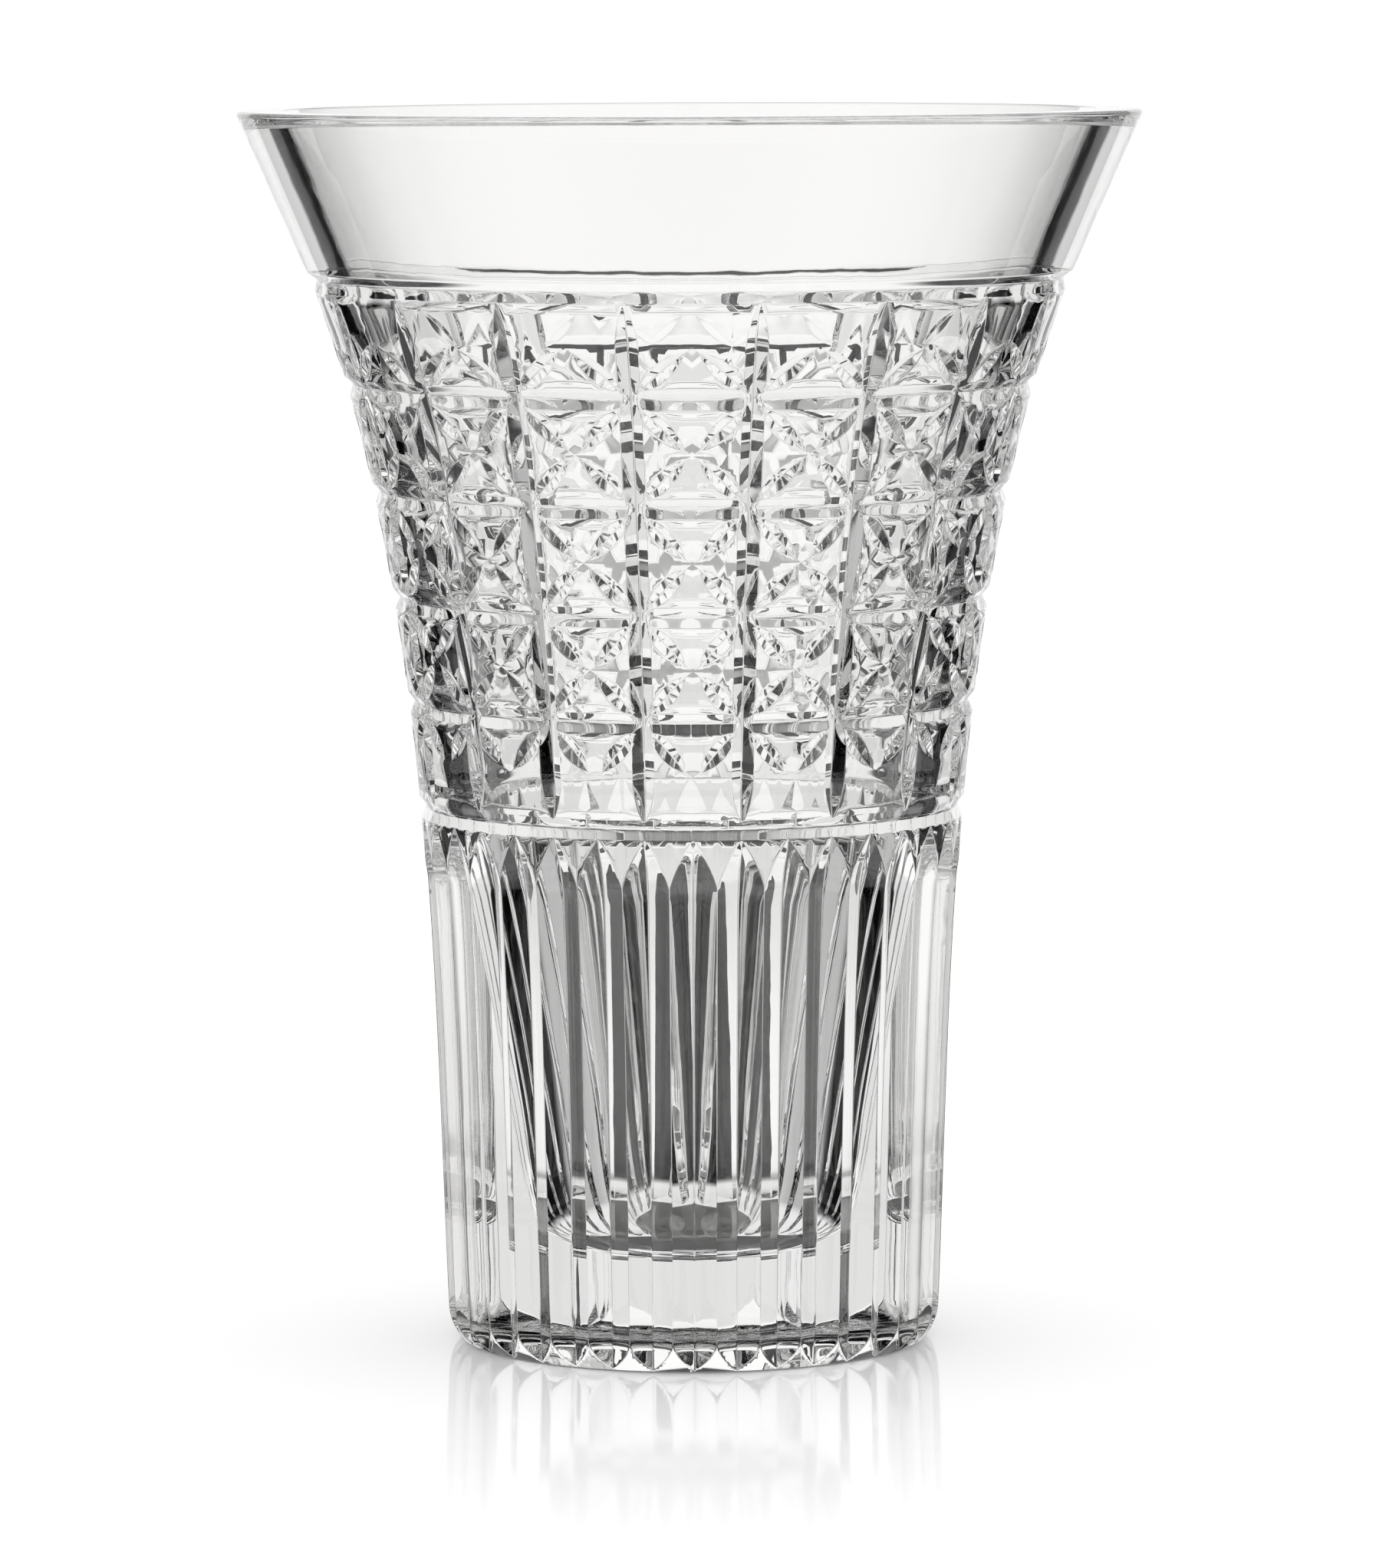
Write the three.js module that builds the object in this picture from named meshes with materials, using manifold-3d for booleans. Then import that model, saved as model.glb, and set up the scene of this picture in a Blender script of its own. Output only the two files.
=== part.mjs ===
// A cut crystal vase: one piece of clear crystal glass, blown thick, flared at the mouth and
// wheel-cut outside with a grid of V cuts, leaf cuts at their crossings and V flutes below.
// Millimetres, +Z up, origin at the centre of the resting plane, the vase's axis along Z.
// Azimuth 0 faces -Y and grows towards +X.
import * as THREE from "three";
import { mergeVertices } from "three/addons/utils/BufferGeometryUtils.js";
import Module from "manifold-3d";

// ---- driving dimensions -------------------------------------------------------------------
const HEIGHT = 270; // resting plane to rim
const RIM_RADIUS = 98.75; // widest circle, just below the rim
const RIM_BEVEL = [0.7, 1.1]; // ground bevel on both edges of the rim, across and down
const RIM_INNER_RADIUS = 88.2; // mouth
const BASE_THICKNESS = 20.4; // solid glass under the cavity

const COLUMNS = 18; // panels round the vase, and upright cuts between them
const FLUTES = 36; // V flutes round the lower body
const SEGMENTS = 36; // facets of the turned outside
const CAVITY_SEGMENTS = 36; // facets of the turned inside

// Outside of the blank before cutting, from the foot up: [height, radius].
const OUTSIDE = [
  [5.6, 54.45],
  [54, 56.2],
  [100, 58.45],
  [117.9, 59.75],
  [140.9, 62.1],
  [163.7, 65.3],
  [187, 69.55],
  [210.2, 75.3],
  [232.8, 82.95],
  [235.3, 83.95],
  [HEIGHT - RIM_BEVEL[1], RIM_RADIUS],
];
// Ground and polished lower edge of the foot, from the resting plane up: [height, radius].
const FOOT_EDGE = [
  [0, 51.55],
  [2.2, 53.4],
];
// Inside, from the rim down to the rounded bottom: [height, radius].
const INSIDE = [
  [HEIGHT - RIM_BEVEL[1], RIM_INNER_RADIUS],
  [236, 74.6],
  [210, 64.8],
  [180, 55.6],
  [150, 49.4],
  [111, 43.6],
  [82, 39.4],
  [56, 35.9],
  [37, 33.5],
  [28.1, 31.5],
  [24.8, 29.1],
  [22.5, 25],
  [21.2, 19.5],
  [BASE_THICKNESS, 0],
];

// Grid cuts: each a V. half: half its width at the surface. slope: of its walls to the surface.
const RING = { half: 2.2, slope: Math.tan(THREE.MathUtils.degToRad(31)) };
const UPRIGHT = { half: 2.45, slope: Math.tan(THREE.MathUtils.degToRad(35)) };
const RING_Z = [232.8, 210.2, 187, 163.7, 140.9, 117.9]; // middle of each ring cut, top to bottom
const RUNOUT = 10.8; // length over which the wheel lifts out at the end of a cut

// Flutes: V cuts side by side, meeting at ridges.
const FLUTE_DEPTH = 0.0505; // depth at the valley, as a part of the outside radius
const FLUTE_LAND = 0.15; // half the width of the flat left on the ridge between two flutes
const FLUTE_TIP = 115.6; // height of the pointed upper ends

// Leaf cuts: four at each crossing of a ring cut with an upright cut, along the diagonals.
// from and to: ends, as a part of the panel's width from the upright cut. rise: height of the far
// end, as a part of the row's height from the ring cut.
const LEAF = { from: 0.05, to: 0.43, rise: 0.445, half: 2, depth: 0.95 };
const LEAF_RINGS = [1, 2, 3, 4];

const CLEAR = 1.5; // how far a cutter stands out of the blank

// ---- helpers --------------------------------------------------------------------------------
const wasm = await Module();
wasm.setup();

function solid(geometry) {
  const g = geometry.clone();
  g.deleteAttribute("normal");
  g.deleteAttribute("uv");
  const m = mergeVertices(g, 1e-4);
  return new wasm.Manifold(
    new wasm.Mesh({
      numProp: 3,
      vertProperties: new Float32Array(m.attributes.position.array),
      triVerts: new Uint32Array(m.index.array),
    }),
  );
}

// Straight-line lookup in a table of [height, radius] with rising heights.
function lookup(table, z) {
  if (z <= table[0][0]) return table[0][1];
  for (let i = 1; i < table.length; i++)
    if (z <= table[i][0]) {
      const [z0, r0] = table[i - 1],
        [z1, r1] = table[i];
      return r0 + ((r1 - r0) * (z - z0)) / (z1 - z0);
    }
  return table.at(-1)[1];
}
const outside = (z) => lookup(OUTSIDE, z);
const lean = (z) =>
  Math.atan((outside(z + 4) - outside(z - 4)) / 8); // of the wall from upright

// A turned solid about +Z from a profile of [height, radius].
function turned(profile, segments) {
  const g = new THREE.LatheGeometry(
    profile.map(([z, r]) => new THREE.Vector2(r, z)),
    segments,
  );
  return g.rotateX(Math.PI / 2);
}

// A V-shaped cutter that follows the outside wall at azimuth a. levels, rising: height, depth of
// the V's bottom below the wall (negative stands clear of it), and the slope of the V's walls.
function vCutter(a, levels) {
  const n = levels.length - 1;
  const g = new THREE.CylinderGeometry(1, 1, 1, 3, n);
  const p = g.attributes.position;
  for (let i = 0; i < p.count; i++) {
    const [z, d, slope] = levels[Math.round((p.getY(i) + 0.5) * n)];
    const r = outside(z),
      x = p.getX(i),
      y = p.getZ(i);
    // The prism's corner on the cylinder's +Z side becomes the V's bottom.
    if (Math.hypot(x, y) < 0.5) p.setXYZ(i, 0, -(r + CLEAR / 2 - d / 2), z);
    else if (y > 0.5) p.setXYZ(i, 0, -(r - d), z);
    else p.setXYZ(i, (-Math.sign(x) * (d + CLEAR)) / slope, -(r + CLEAR), z);
  }
  return solid(g.rotateZ(a));
}

// ---- the blank --------------------------------------------------------------------------------
const ringDepth = RING.half * RING.slope;
const blankOutside = [[0, 0], ...FOOT_EDGE, ...OUTSIDE.slice(0, 3)];
for (const z of RING_Z.toReversed()) {
  const l = lean(z),
    h = RING.half * Math.cos(l);
  blankOutside.push(
    [z - h, outside(z - h)],
    [z + ringDepth * Math.sin(l), outside(z) - ringDepth * Math.cos(l)],
    [z + h, outside(z + h)],
  );
}
blankOutside.push(
  [HEIGHT - RIM_BEVEL[1], RIM_RADIUS],
  [HEIGHT, RIM_RADIUS - RIM_BEVEL[0]],
  [HEIGHT, 0],
);

const cavity = [
  [HEIGHT + 2, 0],
  [HEIGHT + 2, RIM_INNER_RADIUS + RIM_BEVEL[0] * 2.6],
  [HEIGHT, RIM_INNER_RADIUS + RIM_BEVEL[0]],
  ...INSIDE,
].reverse();

// ---- the cuts -----------------------------------------------------------------------------------
const cutters = [];

// Upright cuts between the panels, pointed at both ends where the wheel lifts out.
const topTip = RING_Z[0] - 1.8,
  lowTip = RING_Z[5] + 1;
const uprightDepth = (z) => {
  const lift = Math.max(0, z - (topTip - RUNOUT), lowTip + RUNOUT - z) / RUNOUT;
  return UPRIGHT.half * UPRIGHT.slope * (1 - lift ** 2);
};
const uprightLevels = [
  lowTip - 1.5,
  lowTip + 4,
  lowTip + RUNOUT,
  ...RING_Z.slice(1, 5).toReversed(),
  topTip - RUNOUT,
  topTip - 4,
  topTip + 1.5,
].map((z) => [z, uprightDepth(z), UPRIGHT.slope]);
for (let i = 0; i < COLUMNS; i++)
  cutters.push(vCutter(((i + 0.5) * 2 * Math.PI) / COLUMNS, uprightLevels));

// Flutes, from their pointed tips down through the edge of the foot.
const half = Math.PI / FLUTES;
const fluteLevels = [
  [-2, 0],
  [5.6, 0],
  [54, 0],
  [FLUTE_TIP - RUNOUT, 0],
  [FLUTE_TIP - 4.5, 6.5 / RUNOUT],
  [FLUTE_TIP + 1, 1 + 1 / RUNOUT],
].map(([z, lift]) => {
  const r = outside(z),
    depth = r * FLUTE_DEPTH,
    slope =
      (depth - r * (1 - Math.cos(half))) / (r * Math.sin(half) - FLUTE_LAND);
  return [z, depth * (1 - lift ** 2), slope];
});
for (let i = 0; i < FLUTES; i++)
  cutters.push(vCutter((i * 2 * Math.PI) / FLUTES, fluteLevels));

// Leaf cuts: an eight-sided lozenge sunk half into the wall.
const pitch = (2 * Math.PI) / COLUMNS;
for (const k of LEAF_RINGS)
  for (let i = 0; i < COLUMNS; i++)
    for (const sx of [-1, 1])
      for (const sz of [-1, 1]) {
        const z0 = RING_Z[k],
          row = Math.abs(RING_Z[k + (sz > 0 ? -1 : 1)] - z0);
        const at = (t) => {
          const z = z0 + sz * row * LEAF.rise * t,
            a = pitch * (i + 0.5 + sx * LEAF.to * t),
            r = outside(z);
          return new THREE.Vector3(r * Math.sin(a), -r * Math.cos(a), z);
        };
        const start = LEAF.from / LEAF.to,
          from = at(start),
          to = at(1),
          mid = at((1 + start) / 2);
        const along = to.clone().sub(from),
          length = along.length();
        along.normalize();
        const l = lean(mid.z),
          a = Math.atan2(mid.x, -mid.y);
        const out = new THREE.Vector3(
          Math.sin(a) * Math.cos(l),
          -Math.cos(a) * Math.cos(l),
          -Math.sin(l),
        );
        const side = new THREE.Vector3().crossVectors(out, along).normalize();
        out.crossVectors(along, side).normalize();
        const g = new THREE.OctahedronGeometry(1);
        g.applyMatrix4(
          new THREE.Matrix4()
            .makeBasis(
              along.multiplyScalar(length / 2),
              side.multiplyScalar(LEAF.half),
              out.multiplyScalar(LEAF.depth),
            )
            .setPosition(mid),
        );
        cutters.push(solid(g));
      }

let glass = solid(turned(blankOutside, SEGMENTS)).subtract(
  solid(turned(cavity, CAVITY_SEGMENTS)),
);
for (const c of cutters) glass = glass.subtract(c);

// ---- the scene ----------------------------------------------------------------------------------
const out = glass.getMesh();
const geometry = new THREE.BufferGeometry()
  .setAttribute(
    "position",
    new THREE.BufferAttribute(new Float32Array(out.vertProperties), 3),
  )
  .setIndex(new THREE.BufferAttribute(out.triVerts, 1));
geometry.computeVertexNormals();

const crystal = new THREE.MeshStandardMaterial({
  color: 0xf4f6f6,
  roughness: 0.02,
  metalness: 0,
  transparent: true,
  opacity: 0.35,
});

const vase = new THREE.Group();
const body = new THREE.Mesh(geometry, crystal);
body.name = "vase_body";
vase.add(body);

export default vase;
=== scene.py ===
"""A cut crystal vase on a white glossy table, lit as on a bright background."""
import math

import bpy
import numpy as np
from mathutils import Matrix, Vector
from mathutils.geometry import delaunay_2d_cdt


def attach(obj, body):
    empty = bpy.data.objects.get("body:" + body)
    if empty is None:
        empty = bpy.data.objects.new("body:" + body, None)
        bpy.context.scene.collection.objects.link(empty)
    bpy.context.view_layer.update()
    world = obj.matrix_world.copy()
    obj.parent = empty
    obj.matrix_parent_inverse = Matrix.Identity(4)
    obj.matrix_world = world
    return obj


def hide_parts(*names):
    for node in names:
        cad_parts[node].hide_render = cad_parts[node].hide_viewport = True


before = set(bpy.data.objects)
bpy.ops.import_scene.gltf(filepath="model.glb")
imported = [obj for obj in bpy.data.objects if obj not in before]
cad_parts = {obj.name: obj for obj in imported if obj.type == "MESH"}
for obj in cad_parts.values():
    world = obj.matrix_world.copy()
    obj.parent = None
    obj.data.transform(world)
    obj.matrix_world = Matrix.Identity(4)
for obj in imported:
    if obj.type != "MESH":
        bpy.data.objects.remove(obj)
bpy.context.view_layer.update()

# ---- sizes, in millimetres ---------------------------------------------------------------
HEIGHT = 270.0
RIM_R = 98.74
FLUTES, COLUMNS = 36, 18
SEG_IN = 144
OUT_PTS = [  # outside of the blank before cutting: height, radius
    (5.6, 54.45), (18, 54.95), (31, 55.4), (54, 56.2), (82, 57.35), (100, 58.4), (117.9, 59.75), (129.5, 60.8),
    (140.9, 62.1), (152, 63.55), (163.7, 65.3), (175, 67.25), (187, 69.6), (198, 72.0), (210.2, 75.25),
    (221, 78.75), (232.8, 82.95), (235.3, 83.98),
]
BAND = ((235.3, 83.98), (268.9, 98.74))  # straight plain band
FOOT_R = 51.2  # underside
FOOT_ROUND = (3.15, 10.0)  # the foot's round lower edge: across and up
RIM_ROUND = (0.9, 0.7)  # radii of the rim's outer and inner edges
IN_PTS = [  # inside, from above the rounded bottom up: height, radius
    (30.0, 32.1), (37, 33.5), (46, 34.7), (56, 35.9), (68, 37.5), (82, 39.4), (96, 41.4), (111, 43.6), (130, 46.3), (150, 49.4),
    (165, 52.2), (180, 55.6), (195, 59.7), (210, 64.8), (223, 69.6), (236, 74.6), (252, 81.2), (268.9, 88.2),
]
BOTTOM = [  # the cavity's rounded bottom, from its middle out: height, radius
    (20.4, 0.0), (20.42, 4.0), (20.5, 8.0), (20.62, 12.0), (20.85, 16.0), (21.2, 19.5), (21.75, 22.5), (22.5, 25.0),
    (23.5, 27.2), (24.8, 29.1), (26.3, 30.55), (28.1, 31.5),
]
RINGS = [232.8, 210.2, 187.0, 163.7, 140.9, 117.9]
RING_HALF = 2.2
UP_HALF = 2.45
RING_SLOPE = math.tan(math.radians(32))
UP_SLOPE = math.tan(math.radians(35))
UP_TOP, UP_LOW = 1.6, 0.9
LEAF_GAP_X, LEAF_GAP_Z, LEAF_START, LEAF_HALF, LEAF_SLOPE, LEAF_POWER = 1.55, 1.0, 1.5, 1.95, math.tan(math.radians(28)), 2.2
RUN = 10.5
FLUTE_DEPTH = 0.0505
FLUTE_TIP = 115.9
FLUTE_RUN = 14.0


def spline(points):
    """A natural cubic through (x, y) points, as functions for its value and slope."""
    x = np.array([p[0] for p in points], float)
    y = np.array([p[1] for p in points], float)
    n = len(x)
    h = np.diff(x)
    a = np.eye(n)
    b = np.zeros(n)
    for i in range(1, n - 1):
        a[i, i - 1 : i + 2] = h[i - 1], 2 * (h[i - 1] + h[i]), h[i]
        b[i] = 6 * ((y[i + 1] - y[i]) / h[i] - (y[i] - y[i - 1]) / h[i - 1])
    m = np.linalg.solve(a, b)

    def parts(q):
        q = np.asarray(q, float)
        i = np.clip(np.searchsorted(x, q) - 1, 0, n - 2)
        return i, q - x[i], x[i + 1] - q

    def value(q):
        i, l, r = parts(q)
        return (m[i] * r**3 + m[i + 1] * l**3) / (6 * h[i]) + (y[i] / h[i] - m[i] * h[i] / 6) * r + (y[i + 1] / h[i] - m[i + 1] * h[i] / 6) * l

    def slope(q):
        i, l, r = parts(q)
        return (m[i + 1] * l**2 - m[i] * r**2) / (2 * h[i]) + (y[i + 1] - y[i]) / h[i] - (m[i + 1] - m[i]) * h[i] / 6

    return value, slope


_o, _do = spline(OUT_PTS)
BAND_SLOPE = (BAND[1][1] - BAND[0][1]) / (BAND[1][0] - BAND[0][0])


def outside(z):
    z = np.asarray(z, float)
    r = _o(np.clip(z, 5.6, 235.3))
    r = np.where(z > 235.3, BAND[0][1] + BAND_SLOPE * (z - 235.3), r)
    return np.where(z < 5.6, 54.45 + 0.04 * (z - 5.6), r)


def outside_slope(z):
    z = np.asarray(z, float)
    return np.where(z > 235.3, BAND_SLOPE, np.where(z < 5.6, 0.04, _do(np.clip(z, 5.6, 235.3))))


FLUTE_POWER = 1.7
# The outside is one surface over (azimuth, height): the turned blank, sunk along its own normal by
# the deepest of the cuts there, with the edges and the bottoms of the cuts a little rounded as acid
# polishing leaves them.
EDGE_SOFT = 0.05  # rounding where a cut meets the wall or another cut
VALLEY_SOFT = 0.07  # half width of the rounded bottom of a cut
RING_SOFT = 0.15  # the same in the ring cuts, which are polished rounder
PITCH = 2 * math.pi / COLUMNS


def soft_max(a, b, k):
    return 0.5 * (a + b + np.sqrt((a - b) ** 2 + k * k))


def soft_abs(x, k):
    return np.sqrt(x * x + k * k) - k


def lean_cos(z):
    return 1 / np.sqrt(1 + outside_slope(z) ** 2)


def ring_depth(z):
    d = np.full(np.shape(z), -9.0)
    for zc in RINGS:
        s = (z - zc) / float(lean_cos(zc))
        d = np.maximum(d, RING_SLOPE * (RING_HALF - soft_abs(s, RING_SOFT)))
    return d


def upright_depth(a, z, r):
    top, low = RINGS[0] - UP_TOP, RINGS[5] + UP_LOW
    off = np.abs((a / PITCH) % 1.0 - 0.5) * PITCH * r
    lift = np.maximum(0, np.maximum(z - (top - RUN), low + RUN - z)) / RUN
    return UP_HALF * UP_SLOPE * (1 - lift**2) - UP_SLOPE * soft_abs(off, VALLEY_SOFT)


def leaf_ends(zc, zn):
    """Start and tip of a leaf cut from the crossing on ring zc towards the row's middle, as (x, y) from the crossing, mm on the wall."""
    mid = (zc + zn) / 2
    y = abs(mid - zc) / float(lean_cos((zc + mid) / 2)) - LEAF_GAP_Z
    x = PITCH / 2 * float(outside(mid)) - LEAF_GAP_X
    return LEAF_START, (x, y)


def leaf_shape(x, y, tip):
    """Depth of the leaf cut at (x, y) from its crossing."""
    ax, ay = tip[0] - LEAF_START, tip[1] - LEAF_START
    length = math.hypot(ax, ay)
    t = ((x - LEAF_START) * ax + (y - LEAF_START) * ay) / length
    s = ((x - LEAF_START) * ay - (y - LEAF_START) * ax) / length
    u = np.clip(2 * t / length - 1, -1.3, 1.3)
    return LEAF_HALF * LEAF_SLOPE * (1 - np.abs(u) ** LEAF_POWER) - LEAF_SLOPE * soft_abs(s, VALLEY_SOFT)


def leaf_depth(a, z, r):
    d = np.full(np.shape(z), -9.0)
    off = np.abs((a / PITCH) % 1.0 - 0.5) * PITCH
    for k in range(1, 5):
        for sz in (-1, 1):
            zc, zn = RINGS[k], RINGS[k - sz]
            mid = (zc + zn) / 2
            c = float(lean_cos((zc + mid) / 2))
            y = sz * (z - zc) / c
            here = (y > -0.5) & (sz * (mid - z) > -0.5)
            x = off * float(outside(mid)) * (0.35 + 0.65 * r / float(outside(mid)))
            d = np.where(here, np.maximum(d, leaf_shape(x, y, leaf_ends(zc, zn)[1])), d)
    return d


def flute_depth(a, z, r):
    half = math.pi / FLUTES
    off = np.abs((a / (2 * half) + 0.5) % 1.0 - 0.5) * 2 * half * r
    full = r * FLUTE_DEPTH
    slope = (full - r * (1 - math.cos(half)) - 0.04) / (r * math.sin(half))
    lift = np.maximum(0.0, z - (FLUTE_TIP - FLUTE_RUN)) / FLUTE_RUN
    d = full * (1 - lift**FLUTE_POWER) - slope * soft_abs(off, VALLEY_SOFT)
    return np.where(z > FLUTE_TIP + 1.5, -9.0, d)


def depth(a, z):
    r = outside(z)
    d = soft_max(ring_depth(z), upright_depth(a, z, r), EDGE_SOFT)
    d = soft_max(d, leaf_depth(a, z, r), EDGE_SOFT)
    d = soft_max(d, flute_depth(a, z, r), EDGE_SOFT)
    d = soft_max(d, 0 * d, EDGE_SOFT)
    foot = r - foot_radius(z)
    return np.where(z < FOOT_ROUND[1] + 0.8, soft_max(d, foot, EDGE_SOFT), d)


def foot_radius(z):
    """The foot's ground and polished edge: a round bevel from the resting plane up, then clear of the wall."""
    u = np.clip(z / FOOT_ROUND[1], 0, 1)
    return FOOT_R + FOOT_ROUND[0] * (1 - (1 - u) ** 3) + np.maximum(0, z - FOOT_ROUND[1])


def surface(a, z):
    """Points of the cut outside at azimuths a and heights z."""
    a, z = np.asarray(a, float), np.asarray(z, float)
    r, s = outside(z), outside_slope(z)
    c = 1 / np.sqrt(1 + s * s)
    d = depth(a, z)
    flat = np.clip(z / 8, 0, 1)  # near the foot the cuts sink level, so that its underside stays flat
    rr = r - d * (c * flat + (1 - flat))
    zz = z + d * s * c * flat
    return np.stack([rr * np.sin(a), -rr * np.cos(a), zz], -1)


def surface_normals(a, z, h=0.03):
    r = outside(z)
    da = h / r
    zl, zh = np.maximum(z - h, 0.0), z + h
    du = surface(a + da, z) - surface(a - da, z)
    dv = surface(a, zh) - surface(a, zl)
    n = np.cross(du, dv)
    return n / np.linalg.norm(n, axis=-1, keepdims=True)


# ---- the mesh over that surface -------------------------------------------------------------------
def border_offsets(z):
    """Angles from an upright cut to the middle of the panel where mesh lines cross the height z."""
    r = float(outside(z))
    near = [0, 0.08, 0.25, UP_HALF - 0.15, UP_HALF + 0.15]
    far = np.linspace(UP_HALF + 0.15, PITCH / 2 * r, 5)[1:]
    return np.array(near + list(far[:-1]) + [PITCH / 2 * r]) / r


FLUTE_LINES = [0, 0.016, 0.05, 0.35, 0.66, 0.95, 0.98, 1.0]  # from a valley to the ridge


def flute_offsets():
    """The flutes' own mesh lines between an upright and the middle of the panel: valley, ridge, valley."""
    h = math.pi / FLUTES
    f = np.array(FLUTE_LINES) * h
    return np.concatenate([f, 2 * h - f[::-1][1:]])


def border(z):
    if abs(z - RINGS[5]) > 1e-9:
        return border_offsets(z)
    o = np.concatenate([border_offsets(z), flute_offsets()])
    o = np.sort(o)
    keep = [0.0]
    for v in o[1:]:
        if v - keep[-1] > 0.1 / 60:
            keep.append(float(v))
    keep[-1] = PITCH / 2
    return np.array(keep)


def patch(z0, z1, bottom, top, rows, lines, fill):
    """Triangulates half a panel between the heights z0 and z1, with mesh lines along the edges of the
    cuts. Works in (arc at the middle height, height). Gives (offset, height) points and triangles."""
    rm = float(outside((z0 + z1) / 2))
    pts, edges = [], []

    def add_line(line):
        base = len(pts)
        pts.extend(line)
        edges.extend((base + i, base + i + 1) for i in range(len(line) - 1))

    rect = [(o, z0) for o in bottom] + [(PITCH / 2, z) for z in rows[1:-1]] + [(o, z1) for o in top[::-1]] + [(0.0, z) for z in rows[1:-1][::-1]]
    pts += rect
    n = len(rect)
    edges += [(i, (i + 1) % n) for i in range(n)]
    for line in lines:
        line = [(min(max(o, 0.0), PITCH / 2), z) for o, z in line if z0 <= z <= z1]
        if len(line) > 1:
            add_line(line)
    pts += [(o, z) for o, z in fill if 0.3 / rm < o < PITCH / 2 - 0.3 / rm and z0 + 0.3 < z < z1 - 0.3]
    co = [Vector((o * rm, z - z0)) for o, z in pts]
    out, _, faces, orig, _, _ = delaunay_2d_cdt(co, edges, [], 0, 1e-4)
    final = []
    for v, o in zip(out, orig):
        final.append(pts[min(o)] if len(o) else (v.x / rm, v.y + z0))
    return final, [tuple(f) for f in faces]


def ring_lines(zc, up, offs, z_end):
    """Mesh lines along one wall of a ring cut."""
    c = float(lean_cos(zc))
    lines = []
    for w in (0.35, 0.8, RING_HALF - 0.14, RING_HALF + 0.1):
        z = zc + up * w * c
        r = float(outside(z))
        lines.append([(float(o), z) for o in offs])
    return lines


def upright_lines(z0, z1, n=6):
    lines = []
    top, low = RINGS[0] - UP_TOP, RINGS[5] + UP_LOW
    zs = list(np.linspace(z0, z1, n))
    if z0 < low or z1 > top:
        zs = sorted(set(zs + [low + RUN * f for f in (0.02, 0.08, 0.3)] + [top - RUN * f for f in (0.02, 0.08, 0.3)]))
    for w in (-UP_HALF + 0.08, -UP_HALF + 0.25, -0.15, 0.15):
        line = []
        for z in zs:
            lift = max(0.0, z - (top - RUN), low + RUN - z) / RUN
            if lift > 0.999:
                continue
            x = max(UP_HALF * (1 - lift**2) + w, 0.08 if w < -UP_HALF + 0.2 else 0.25)
            if w > -UP_HALF + 0.3:
                x = max(x, 0.3)
            line.append((x / float(outside(z)), float(z)))
        lines.append(line)
    return lines


def leaf_lines(k, sz, n=10):
    zc, zn = RINGS[k], RINGS[k - sz]
    mid = (zc + zn) / 2
    c = float(lean_cos((zc + mid) / 2))
    tip = leaf_ends(zc, zn)[1]
    ax, ay = tip[0] - LEAF_START, tip[1] - LEAF_START
    length = math.hypot(ax, ay)
    rmid = float(outside(mid))
    out = []

    def to_wall(t, s):
        x = LEAF_START + (t * ax + s * ay) / length
        y = LEAF_START + (t * ay - s * ax) / length
        z = zc + sz * y * c
        return (x / (rmid * (0.35 + 0.65 * float(outside(z)) / rmid)), z)

    for side in (-1, 1):
        for w in (-0.2, 0.2):
            line = []
            for u in np.linspace(-1, 1, n + 1):
                half = LEAF_HALF * (1 - abs(u) ** LEAF_POWER) + w
                if half < 0.05:
                    if w < 0:
                        continue
                    half = 0.0
                line.append(to_wall((u + 1) / 2 * length, side * half))
            out.append(line)
    for w in (-0.18, 0.0, 0.18):
        line = []
        for u in np.linspace(-1, 1, 7):
            half = LEAF_HALF * (1 - abs(u) ** LEAF_POWER)
            if half < 0.3 and w:
                continue
            line.append(to_wall((u + 1) / 2 * length, w))
        out.append(line)
    return out


def leaf_free(points, k, sz):
    """Drops points in or close to the leaf cut."""
    zc, zn = RINGS[k], RINGS[k - sz]
    mid = (zc + zn) / 2
    c = float(lean_cos((zc + mid) / 2))
    tip = leaf_ends(zc, zn)[1]
    rmid = float(outside(mid))
    keep = []
    for o, z in points:
        x = o * (rmid * (0.35 + 0.65 * float(outside(z)) / rmid))
        if leaf_shape(x, sz * (z - zc) / c, tip) < -0.2:
            keep.append((o, z))
    return keep


def flute_slope(z):
    r, h = float(outside(z)), math.pi / FLUTES
    return (r * FLUTE_DEPTH - r * (1 - math.cos(h)) - 0.04) / (r * math.sin(h))


def tip_arch(z):
    """Distance from a flute's valley to the edge of its pointed upper end."""
    lift = max(0.0, z - (FLUTE_TIP - FLUTE_RUN)) / FLUTE_RUN
    return float(outside(z)) * FLUTE_DEPTH * (1 - lift**FLUTE_POWER) / flute_slope(z)


def flute_tip_lines():
    lines = []
    h = math.pi / FLUTES
    zs = FLUTE_TIP - FLUTE_RUN + FLUTE_RUN * np.array([-0.05, 0.0, 0.12, 0.24, 0.27, 0.31, 0.36, 0.43, 0.52, 0.62, 0.72, 0.81, 0.89, 0.95, 0.985])
    for w in (-0.14, 0.0, 0.14):
        line = []
        for z in zs:
            r = float(outside(z))
            x = tip_arch(float(z)) + w
            if x / r < h - 0.05 / r and x > 0.02:
                line.append((x / r, float(z)))
        lines += [line, [(2 * h - o, z) for o, z in line]]
    for f in (0.016, 0.05, 0.98):
        line = [(f * h, float(z)) for z in zs[: -1 if f < 0.5 else 4]]
        lines += [line, [(2 * h - o, z) for o, z in line]]
    lines.append([(h, float(z)) for z in zs])
    return lines


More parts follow.
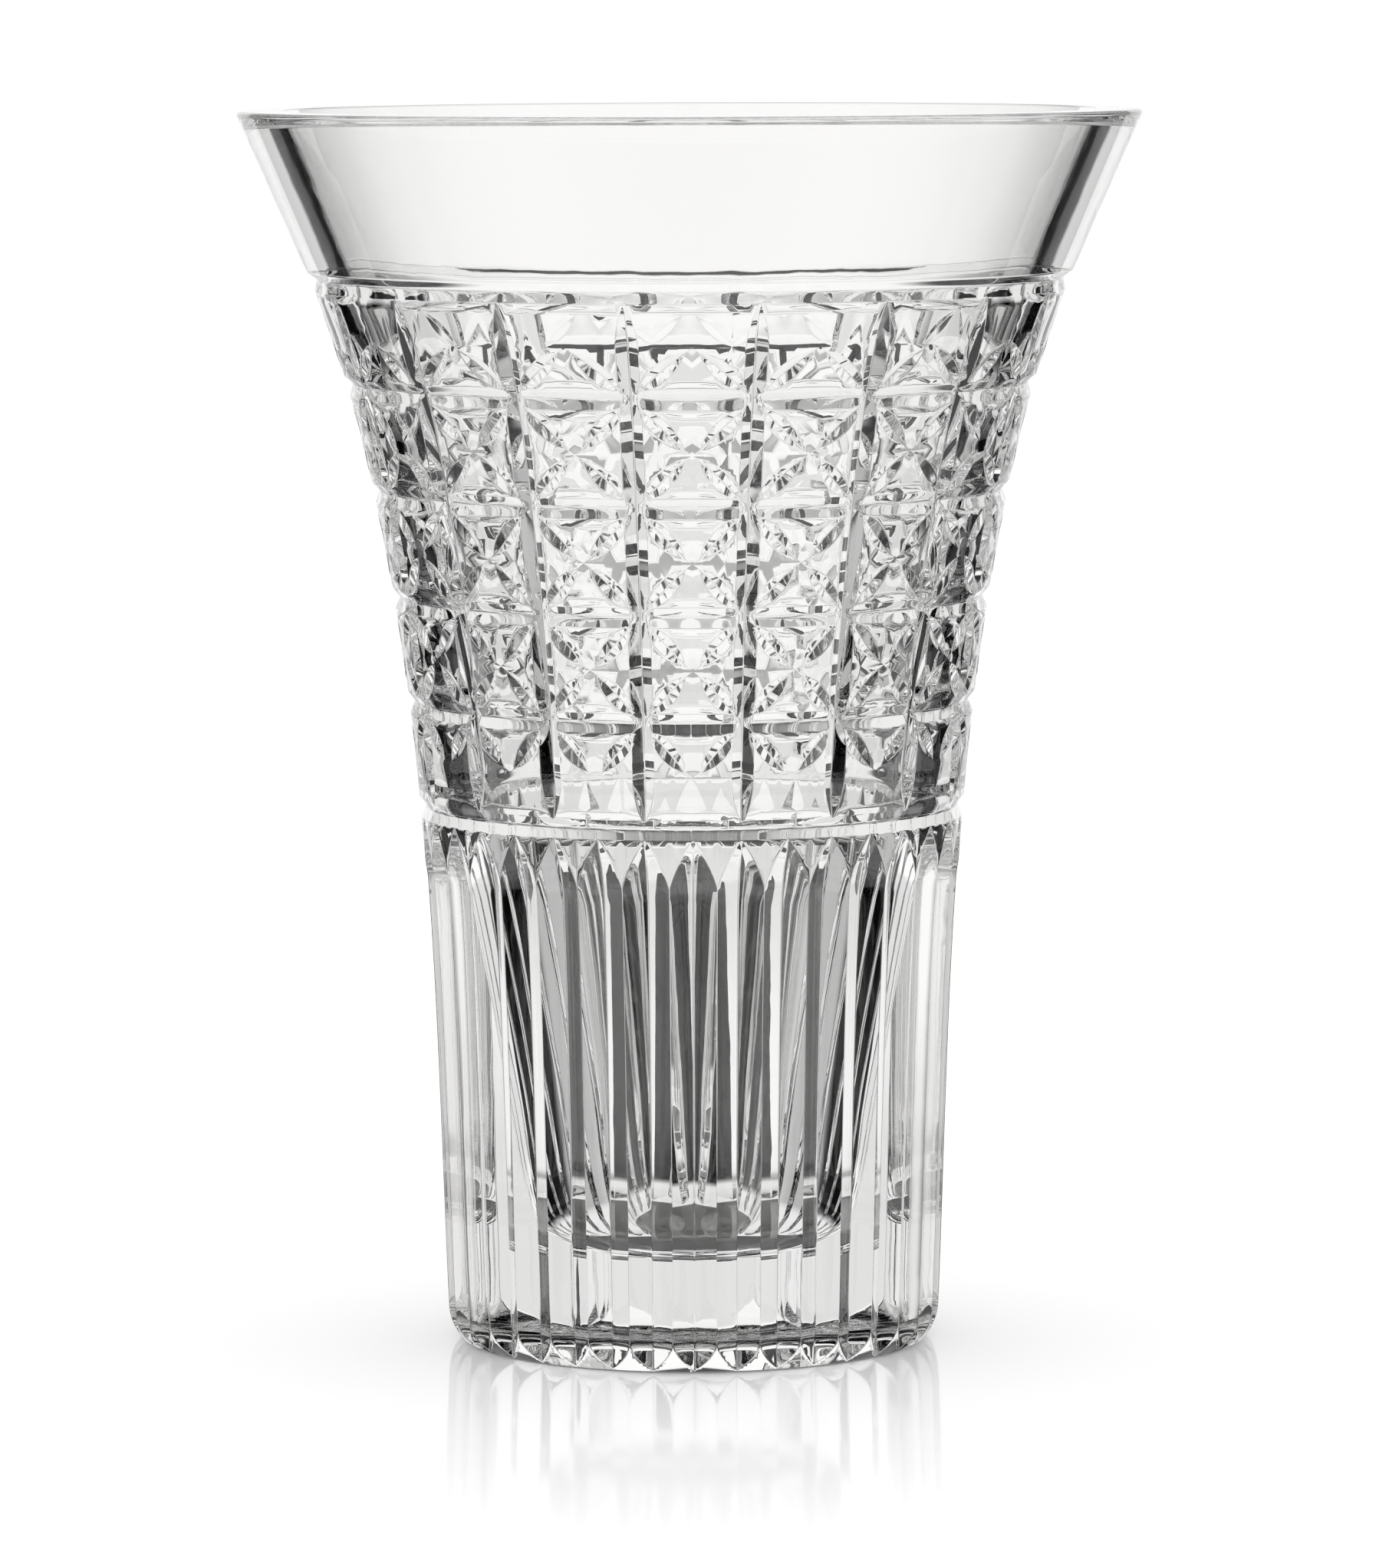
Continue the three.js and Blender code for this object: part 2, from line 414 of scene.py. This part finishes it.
def tip_grid(rows):
    h = math.pi / FLUTES
    points = []
    for z in rows:
        for f in (0.2, 0.35, 0.5, 0.66, 0.8):
            r = float(outside(z))
            if abs(f * h * r - tip_arch(float(z))) > 0.35:
                points += [(f * h, float(z)), ((2 - f) * h, float(z))]
    return points


def foot_arch(z):
    """Distance from a flute's valley to the arch where its wall meets the foot's bevel."""
    return float(outside(z) * (FLUTE_DEPTH - 1) + foot_radius(z)) / flute_slope(z)


def foot_lines(rows):
    h = math.pi / FLUTES
    lines = []
    for w in (-0.13, 0.0, 0.13):
        line = []
        for z in (0.3, 0.37, 0.46, 0.6, 0.75, 0.95, 1.25, 1.6, 2.1, 2.6, 3.2, 3.9, 4.7, 5.5, 6.2, 6.7):
            r, x = float(outside(z)), foot_arch(z) + w
            if 0.03 < x < h * r - 0.04:
                line.append((x / r, float(z)))
        lines += [line, [(2 * h - o, z) for o, z in line]]
    for f in FLUTE_LINES[1:]:
        if f not in (0.35, 0.66):
            line = [(f * h, float(z)) for z in rows]
            lines += [line, [(2 * h - o, z) for o, z in line]] if f < 1 else [line]
    return lines


def foot_grid(rows):
    h = math.pi / FLUTES
    points = []
    for z in rows:
        for f in (0.2, 0.35, 0.5, 0.66, 0.8):
            r = float(outside(z))
            if abs(f * h * r - foot_arch(z)) > 0.35:
                points += [(f * h, float(z)), ((2 - f) * h, float(z))]
    return points


class Skin:
    """Collects points of the outside by (azimuth, height), each once."""

    def __init__(self):
        self.index, self.points, self.faces = {}, [], []

    def at(self, a, z):
        a = (a + 1e-7) % (2 * math.pi)
        key = (round(a * 1e5 + 0.317), round(z * 1e3 + 0.317))
        if key not in self.index:
            self.index[key] = len(self.points)
            self.points.append((a - 1e-7, z))
        return self.index[key]

    def face(self, *ids):
        ids = [v for i, v in enumerate(ids) if v != ids[i - 1]]
        if len(set(ids)) > 2:
            self.faces.append(ids)

    def around(self, points, tris):
        """Lays a half panel patch on both sides of every upright cut."""
        for i in range(COLUMNS):
            mid = (i + 0.5) * PITCH
            for s in (1, -1):
                ids = [self.at(mid + s * o, z) for o, z in points]
                for t in tris:
                    f = [ids[v] for v in t]
                    self.face(*(f if s > 0 else f[::-1]))

    def strip(self, offs, z0, z1):
        for i in range(COLUMNS):
            mid = (i + 0.5) * PITCH
            for s in (1, -1):
                for o0, o1 in zip(offs, offs[1:]):
                    f = [self.at(mid + s * o0, z0), self.at(mid + s * o1, z0), self.at(mid + s * o1, z1), self.at(mid + s * o0, z1)]
                    self.face(*(f if s > 0 else f[::-1]))

    def loop(self, offs, z):
        ids = []
        for i in range(COLUMNS):
            mid = (i + 0.5) * PITCH
            ids += [self.at(mid - o, z) for o in offs[::-1]] + [self.at(mid + o, z) for o in offs[1:-1]]
        return ids


def zip_loops(a, pa, b, pb):
    """Triangles between two rings of vertices with rising azimuths pa and pb."""
    faces = []
    i = j = 0
    while i < len(a) or j < len(b):
        na = pa[(i + 1) % len(a)] + (2 * math.pi if i + 1 >= len(a) else 0)
        nb = pb[(j + 1) % len(b)] + (2 * math.pi if j + 1 >= len(b) else 0)
        if j >= len(b) or (i < len(a) and na <= nb):
            faces.append((a[i % len(a)], a[(i + 1) % len(a)], b[j % len(b)]))
            i += 1
        else:
            faces.append((a[i % len(a)], b[(j + 1) % len(b)], b[j % len(b)]))
            j += 1
    return faces


def fillet(corner, d_in, d_out, radius, n):
    """Points and normals of a round corner in (r, z): d_in and d_out are the directions along the
    profile before and after the corner."""
    d_in, d_out = np.array(d_in) / np.hypot(*d_in), np.array(d_out) / np.hypot(*d_out)
    turn = math.acos(float(np.clip(d_in @ d_out, -1, 1)))
    start = np.array(corner) - d_in * radius * math.tan(turn / 2)
    left = np.array([-d_in[1], d_in[0]])
    sgn = 1.0 if left @ d_out > 0 else -1.0
    centre = start + left * sgn * radius
    out = []
    for k in range(n + 1):
        t = turn * k / n * sgn
        v = start - centre
        c, s = math.cos(t), math.sin(t)
        w = np.array([c * v[0] - s * v[1], s * v[0] + c * v[1]])
        out.append((centre + w, w / radius))
    return out


def make_vase(name):
    sk = Skin()
    fo = flute_offsets()
    # foot and flutes
    foot = FOOT_ROUND[1] + 0.8
    rows = [foot * f for f in (0, 0.04, 0.09, 0.16, 0.25, 0.37, 0.5, 0.64, 0.8, 1)]
    pts, tris = patch(0.0, foot, fo, fo, rows, foot_lines(rows), foot_grid(rows[1:-1]))
    sk.around(pts, tris)
    z_top = FLUTE_TIP - FLUTE_RUN * 1.05
    zs = list(np.linspace(foot, z_top, 10))
    for z0, z1 in zip(zs, zs[1:]):
        sk.strip(fo, z0, z1)
    # pointed upper ends of the flutes, up to the lowest ring cut's valley
    c5 = float(lean_cos(RINGS[5]))
    rows = [z_top] + list(np.linspace(z_top, RINGS[5] - (RING_HALF + 0.16) * c5, 9)[1:-1]) + [RINGS[5] - w * c5 for w in (RING_HALF + 0.1, RING_HALF - 0.14, 1.5, 0.8, 0.35)] + [RINGS[5]]
    top5 = border(RINGS[5])
    pts, tris = patch(z_top, RINGS[5], fo, top5, rows, flute_tip_lines() + ring_lines(RINGS[5], -1, [0.0] + list(top5[1:-1]) + [PITCH / 2], z_top), tip_grid(np.linspace(z_top, FLUTE_TIP, 9)[1:-1]))
    sk.around(pts, tris)
    # panels, in half rows from a ring cut's valley to the middle of the row
    for k in range(5, 0, -1):
        for ring, sz in ((k, 1), (k - 1, -1)):
            zc = RINGS[ring]
            mid = (RINGS[k] + RINGS[k - 1]) / 2
            c = float(lean_cos(zc))
            leafy = 1 <= ring <= 4
            near = [zc + sz * w * c for w in (0.35, 0.8, 1.5, RING_HALF - 0.16, RING_HALF + 0.1)]
            far = list(np.linspace(zc + sz * (RING_HALF + 0.1) * c, mid, 5)[1:-1])
            rows = sorted([zc] + near + far + [mid])
            z0, z1 = rows[0], rows[-1]
            offs = border(zc)
            lines = ring_lines(zc, sz, [0.0] + list(offs[1:-1]) + [PITCH / 2], mid) + upright_lines(z0, z1, 7)
            grid = [(float(o), float(z)) for o in border_offsets((z0 + z1) / 2)[5:-1] for z in rows[2:-2]]
            if leafy:
                lines += leaf_lines(ring, sz)
                grid = leaf_free(grid, ring, sz)
            bottom, top = (border(z0), border(z1))
            pts, tris = patch(z0, z1, bottom, top, rows, lines, grid)
            sk.around(pts, tris)
    # top ring cut's upper wall and the plain band
    offs = border(RINGS[0])
    c0 = float(lean_cos(RINGS[0]))
    dr = np.array([BAND_SLOPE, 1.0])
    corner = (float(outside(HEIGHT)), HEIGHT)
    outer = fillet(corner, dr, (-1, 0), RIM_ROUND[0], 7)
    zs = [RINGS[0]] + [RINGS[0] + w * c0 for w in (0.3, 0.6, 1.0, 1.5, RING_HALF - 0.16, RING_HALF, RING_HALF + 0.16)] + [235.3, 238, 244, 250, 256, 262, float(outer[0][0][1])]
    for z0, z1 in zip(zs, zs[1:]):
        sk.strip(offs, z0, z1)
    a = np.array([p[0] for p in sk.points])
    z = np.array([p[1] for p in sk.points])
    co = surface(a, z)
    no = surface_normals(a, z)
    verts, norms, faces = [co], [no], list(sk.faces)
    count = len(co)

    def ring(r, zz, nr, nz, angles):
        nonlocal count
        s, c = np.sin(angles), -np.cos(angles)
        verts.append(np.stack([r * s, r * c, np.full(len(angles), zz)], -1))
        norms.append(np.stack([nr * s, nr * c, np.full(len(angles), nz)], -1))
        count += len(angles)
        return list(range(count - len(angles), count))

    def join(x, y, flip=False):
        n = len(x)
        for i in range(n):
            f = (x[i], x[(i + 1) % n], y[(i + 1) % n], y[i])
            faces.append(f[::-1] if flip else f)

    # rim: round outer edge, flat top, round inner edge, then the inside
    loop = sk.loop(offs, zs[-1])
    angles = np.array([sk.points[i][0] for i in loop])
    order = np.argsort(angles % (2 * math.pi))
    loop, angles = [loop[i] for i in order], (angles % (2 * math.pi))[order]
    prev = loop
    for (p, n) in outer[1:]:
        cur = ring(p[0], p[1], n[0], n[1], angles)
        join(prev, cur)
        prev = cur
    vi, si = spline(IN_PTS)
    s_in = float(si(267.0))
    r_in = float(vi(268.0)) + s_in * 2.0
    inner = fillet((r_in, HEIGHT), (-1, 0), (-s_in, -1.0), RIM_ROUND[1], 6)
    ang_in = np.arange(SEG_IN) * 2 * math.pi / SEG_IN
    first = ring(inner[0][0][0], HEIGHT, 0, 1, ang_in)
    faces += zip_loops(prev, list(angles), first, list(ang_in))
    prev = first
    for (p, n) in inner[1:]:
        cur = ring(p[0], p[1], n[0], n[1], ang_in)
        join(prev, cur)
        prev = cur
    z_in = float(inner[-1][0][1])
    prof = [(float(vi(q)), float(q)) for q in list(np.arange(264, 34, -4.5)) + [31.0]] + [(r, q) for q, r in BOTTOM[::-1][:-1]]
    full = [(inner[-1][0][0], z_in)] + prof + [(0.0, BOTTOM[0][0])]
    for i in range(1, len(full) - 1):
        t = np.zeros(2)
        for q0, q1 in ((full[i - 1], full[i]), (full[i], full[i + 1])):
            d = np.array(q1) - np.array(q0)
            t += d / (d @ d)
        t /= np.hypot(*t)
        cur = ring(full[i][0], full[i][1], t[1], -t[0], ang_in)
        join(prev, cur)
        prev = cur
    verts.append(np.array([[0, 0, BOTTOM[0][0]]]))
    norms.append(np.array([[0, 0, 1.0]]))
    count += 1
    for i in range(len(prev)):
        faces.append((prev[i], prev[(i + 1) % len(prev)], count - 1))
    # underside
    base = sk.loop(fo, 0.0)
    verts.append(np.array([[0, 0, 0.0]]))
    norms.append(np.array([[0, 0, -1.0]]))
    count += 1
    for i in range(len(base)):
        faces.append((base[(i + 1) % len(base)], base[i], count - 1))
    verts, norms = np.concatenate(verts), np.concatenate(norms)
    me = bpy.data.meshes.new(name)
    me.from_pydata([tuple(v) for v in verts * 0.001], [], faces)
    me.update()
    me.polygons.foreach_set("use_smooth", [True] * len(me.polygons))
    me.normals_split_custom_set_from_vertices([tuple(n) for n in norms])
    ob = bpy.data.objects.new(name, me)
    bpy.context.scene.collection.objects.link(ob)
    return ob


WAVES = dict(scale=75, height=0.000022)  # per metre, metres

# ---- the vase ---------------------------------------------------------------------------------
def crystal_material():
    """Clear lead crystal, polished in acid: faintly wavy, and a trace less smooth in patches."""
    m = bpy.data.materials.new("clear_crystal")
    m.use_nodes = True
    nt = m.node_tree
    b = nt.nodes["Principled BSDF"]
    b.inputs["Base Color"].default_value = (0.992, 0.99, 0.984, 1)
    b.inputs["Metallic"].default_value = 0
    b.inputs["IOR"].default_value = 1.55
    b.inputs["Transmission Weight"].default_value = 1
    where = nt.nodes.new("ShaderNodeTexCoord")
    waves = nt.nodes.new("ShaderNodeTexNoise")
    waves.inputs["Scale"].default_value = WAVES["scale"]
    waves.inputs["Detail"].default_value = 1.5
    waves.inputs["Distortion"].default_value = 0.4
    nt.links.new(where.outputs["Object"], waves.inputs["Vector"])
    bump = nt.nodes.new("ShaderNodeBump")
    bump.inputs["Strength"].default_value = 1.0
    bump.inputs["Distance"].default_value = WAVES["height"]
    nt.links.new(waves.outputs["Fac"], bump.inputs["Height"])
    nt.links.new(bump.outputs["Normal"], b.inputs["Normal"])
    patches = nt.nodes.new("ShaderNodeTexNoise")
    patches.inputs["Scale"].default_value = 35
    patches.inputs["Detail"].default_value = 3
    nt.links.new(where.outputs["Object"], patches.inputs["Vector"])
    polish = nt.nodes.new("ShaderNodeMapRange")
    polish.inputs["From Min"].default_value = 0.45
    polish.inputs["From Max"].default_value = 0.75
    polish.inputs["To Min"].default_value = 0.0
    polish.inputs["To Max"].default_value = 0.02
    nt.links.new(patches.outputs["Fac"], polish.inputs["Value"])
    nt.links.new(polish.outputs["Result"], b.inputs["Roughness"])
    return m


vase = make_vase("vase_body_crystal")
vase.data.materials.append(crystal_material())
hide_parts("vase_body")
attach(vase, "root")

# ---- camera -----------------------------------------------------------------------------------
DIST, CAM_Z, PITCH, ROLL, AROUND, YAW = 1.777, 0.3007, 5.743, -0.206, -0.26, 0.016
cam_data = bpy.data.cameras.new("camera")
cam_data.lens = 186.4
cam_data.sensor_width = 36
cam_data.clip_end = 100
cam = bpy.data.objects.new("camera", cam_data)
bpy.context.scene.collection.objects.link(cam)
a = math.radians(AROUND)
cam.matrix_world = (
    Matrix.Translation((DIST * math.sin(a), -DIST * math.cos(a), CAM_Z))
    @ Matrix.Rotation(a + math.radians(YAW), 4, "Z")
    @ Matrix.Rotation(math.radians(90 - PITCH), 4, "X")
    @ Matrix.Rotation(math.radians(ROLL), 4, "Z")
)
bpy.context.scene.camera = cam

# ---- the table --------------------------------------------------------------------------------
TABLE_ROUGH = 0.08
SHADE_R = 0.0505
TABLE_SHEEN = (0.03, 0.27, 0.14)  # full up to this far from the middle, gone at this far, and its level
floor_mesh = bpy.data.meshes.new("floor")
floor_mesh.from_pydata([(-9, -9, 0), (9, -9, 0), (9, 9, 0), (-9, 9, 0)], [], [(0, 1, 2, 3)])
floor = bpy.data.objects.new("floor", floor_mesh)
floor.location.z = -0.0004
bpy.context.scene.collection.objects.link(floor)
fm = bpy.data.materials.new("white_table")
fm.use_nodes = True
ft = fm.node_tree
fb = ft.nodes["Principled BSDF"]
fb.inputs["Base Color"].default_value = (0.96, 0.96, 0.96, 1)
fb.inputs["Roughness"].default_value = TABLE_ROUGH
# The sheen fades with the distance from the vase, as on a table sprayed matt.
where = ft.nodes.new("ShaderNodeTexCoord")
reach = ft.nodes.new("ShaderNodeVectorMath")
reach.operation = "LENGTH"
ft.links.new(where.outputs["Object"], reach.inputs[0])
sheen = ft.nodes.new("ShaderNodeMapRange")
sheen.interpolation_type = "SMOOTHSTEP"
sheen.inputs["From Min"].default_value = TABLE_SHEEN[0]
sheen.inputs["From Max"].default_value = TABLE_SHEEN[1]
sheen.inputs["To Min"].default_value = TABLE_SHEEN[2]
sheen.inputs["To Max"].default_value = 0.0
ft.links.new(reach.outputs["Value"], sheen.inputs["Value"])
ft.links.new(sheen.outputs["Result"], fb.inputs["Specular IOR Level"])
floor_mesh.materials.append(fm)
# Light that has been through the glass or off it doesn't see the table again.
floor.visible_transmission = False
floor.visible_glossy = False

# The vase stands in its own shade: a grey disc just under the foot, seen only through the glass.
n = 96
ring_co = [(SHADE_R * math.cos(2 * math.pi * i / n), SHADE_R * math.sin(2 * math.pi * i / n), 0) for i in range(n)]
disc_mesh = bpy.data.meshes.new("shade_disc")
disc_mesh.from_pydata(ring_co, [], [tuple(range(n))])
disc = bpy.data.objects.new("shade_disc", disc_mesh)
disc.location.z = -0.0003
bpy.context.scene.collection.objects.link(disc)
dm = bpy.data.materials.new("table_in_shade")
dm.use_nodes = True
db = dm.node_tree.nodes["Principled BSDF"]
db.inputs["Base Color"].default_value = (0.45, 0.45, 0.45, 1)
db.inputs["Roughness"].default_value = 0.6
db.inputs["Specular IOR Level"].default_value = 0.0
disc_mesh.materials.append(dm)
disc.visible_camera = False
disc.visible_diffuse = False

# ---- light ------------------------------------------------------------------------------------
# One large bright panel stands behind the vase, narrower below the table's level, with the studio
# dark above it and on both sides of it. A softer, dimmer fill comes from the front and a narrow one
# from each side. Only the glass sees these: for the background and the table the studio is plain
# white. Angles are in degrees, around from straight behind and above the horizon.
WHITE = 1.25
BACK = dict(level=1.02, edge=30, edge_below=20.5, below=(-16, -11), soft=1.5)
BACK_TOP = dict(edge=(26.5, 29), slant=0.68)  # the panel's upper edge falls towards its sides
TABLE_EDGE = dict(middle=-9, half=(2.5, 5), loss=0.22)  # the far edge of the table in front of the panel
FILL = dict(level=0.9, edge=(55, 132), upper=(12, 20), upper_loss=0.38, top=(40, 53))
NEAR_EDGE = dict(middle=-16, half=(3.4, 6.4))  # dark near edge of the table
LOW = dict(below=(-29, -21), loss=0.6)  # the shaded table close behind the vase
SIDE = dict(level=0.5, half=(15, 24))
GLOW = dict(level=0.05, half=(5, 16))  # light scattered along the horizon
TABLE = dict(level=0.9, below=(-36, -27))  # the table, seen steeply downwards

world = bpy.data.worlds.new("studio")
bpy.context.scene.world = world
world.use_nodes = True
world.cycles.sampling_method = "NONE"  # so that the table sees plain white only
wn, wl = world.node_tree.nodes, world.node_tree.links
wn.clear()
out = wn.new("ShaderNodeOutputWorld")
direction = wn.new("ShaderNodeTexCoord")
sep = wn.new("ShaderNodeSeparateXYZ")
wl.new(direction.outputs["Generated"], sep.inputs[0])


def put(socket, v):
    if isinstance(v, (int, float)):
        socket.default_value = v
    else:
        wl.new(v, socket)


def calc(op, *args):
    n = wn.new("ShaderNodeMath")
    n.operation = op
    for i, v in enumerate(args):
        put(n.inputs[i], v)
    return n.outputs[0]


def ramp(v, edge, lo, hi):
    """Goes softly from lo to hi as the angle v passes from one edge to the other, in degrees."""
    n = wn.new("ShaderNodeMapRange")
    n.interpolation_type = "SMOOTHSTEP"
    put(n.inputs["Value"], v)
    put(n.inputs["From Min"], math.radians(edge[0]))
    put(n.inputs["From Max"], math.radians(edge[1]))
    put(n.inputs["To Min"], lo)
    put(n.inputs["To Max"], hi)
    return n.outputs["Result"]


def off(v, degrees):
    return calc("ABSOLUTE", calc("SUBTRACT", v, math.radians(degrees)))


around = calc("ARCTAN2", calc("ABSOLUTE", sep.outputs["X"]), sep.outputs["Y"])
above = calc("ARCSINE", sep.outputs["Z"])
widen = ramp(above, BACK["below"], math.radians(BACK["edge"] - BACK["edge_below"]), 0.0)
soft = BACK["soft"]
back = ramp(calc("ADD", around, widen), (BACK["edge"] - soft, BACK["edge"] + soft), BACK["level"], 0.0)
below_top = ramp(calc("MULTIPLY_ADD", around, BACK_TOP["slant"], above), BACK_TOP["edge"], 1.0, 0.0)
far_edge = ramp(off(above, TABLE_EDGE["middle"]), TABLE_EDGE["half"], 1 - TABLE_EDGE["loss"], 1.0)
back = calc("MULTIPLY", calc("MULTIPLY", back, below_top), far_edge)
back = calc("MULTIPLY", back, ramp(above, LOW["below"], 1 - LOW["loss"], 1.0))
fill = ramp(around, FILL["edge"], 0.0, FILL["level"])
for part in (ramp(above, FILL["upper"], 1.0, 1 - FILL["upper_loss"]), ramp(above, FILL["top"], 1.0, 0.0), ramp(off(above, NEAR_EDGE["middle"]), NEAR_EDGE["half"], 0.0, 1.0)):
    fill = calc("MULTIPLY", fill, part)
side = calc("MULTIPLY", ramp(off(around, 90), SIDE["half"], SIDE["level"], 0.0), ramp(above, BACK_TOP["edge"], 1.0, 0.0))
glow = ramp(calc("ABSOLUTE", above), GLOW["half"], GLOW["level"], 0.0)
table = ramp(above, TABLE["below"], TABLE["level"], 0.0)
glass_sees = calc("MAXIMUM", calc("ADD", back, calc("MAXIMUM", fill, side)), calc("MAXIMUM", glow, table))
path = wn.new("ShaderNodeLightPath")
direct = calc("MAXIMUM", path.outputs["Is Camera Ray"], path.outputs["Is Diffuse Ray"])
strength = wn.new("ShaderNodeMix")
put(strength.inputs["Factor"], direct)
put(strength.inputs["A"], glass_sees)
put(strength.inputs["B"], WHITE)
bg = wn.new("ShaderNodeBackground")
bg.inputs["Color"].default_value = (1, 1, 1, 1)
wl.new(strength.outputs["Result"], bg.inputs["Strength"])
wl.new(bg.outputs[0], out.inputs["Surface"])

# ---- rendering of glass -------------------------------------------------------------------------
sc = bpy.context.scene
sc.view_settings.view_transform = "Standard"
sc.cycles.max_bounces = 32
sc.cycles.transmission_bounces = 32
sc.cycles.glossy_bounces = 24
sc.cycles.blur_glossy = 0.0
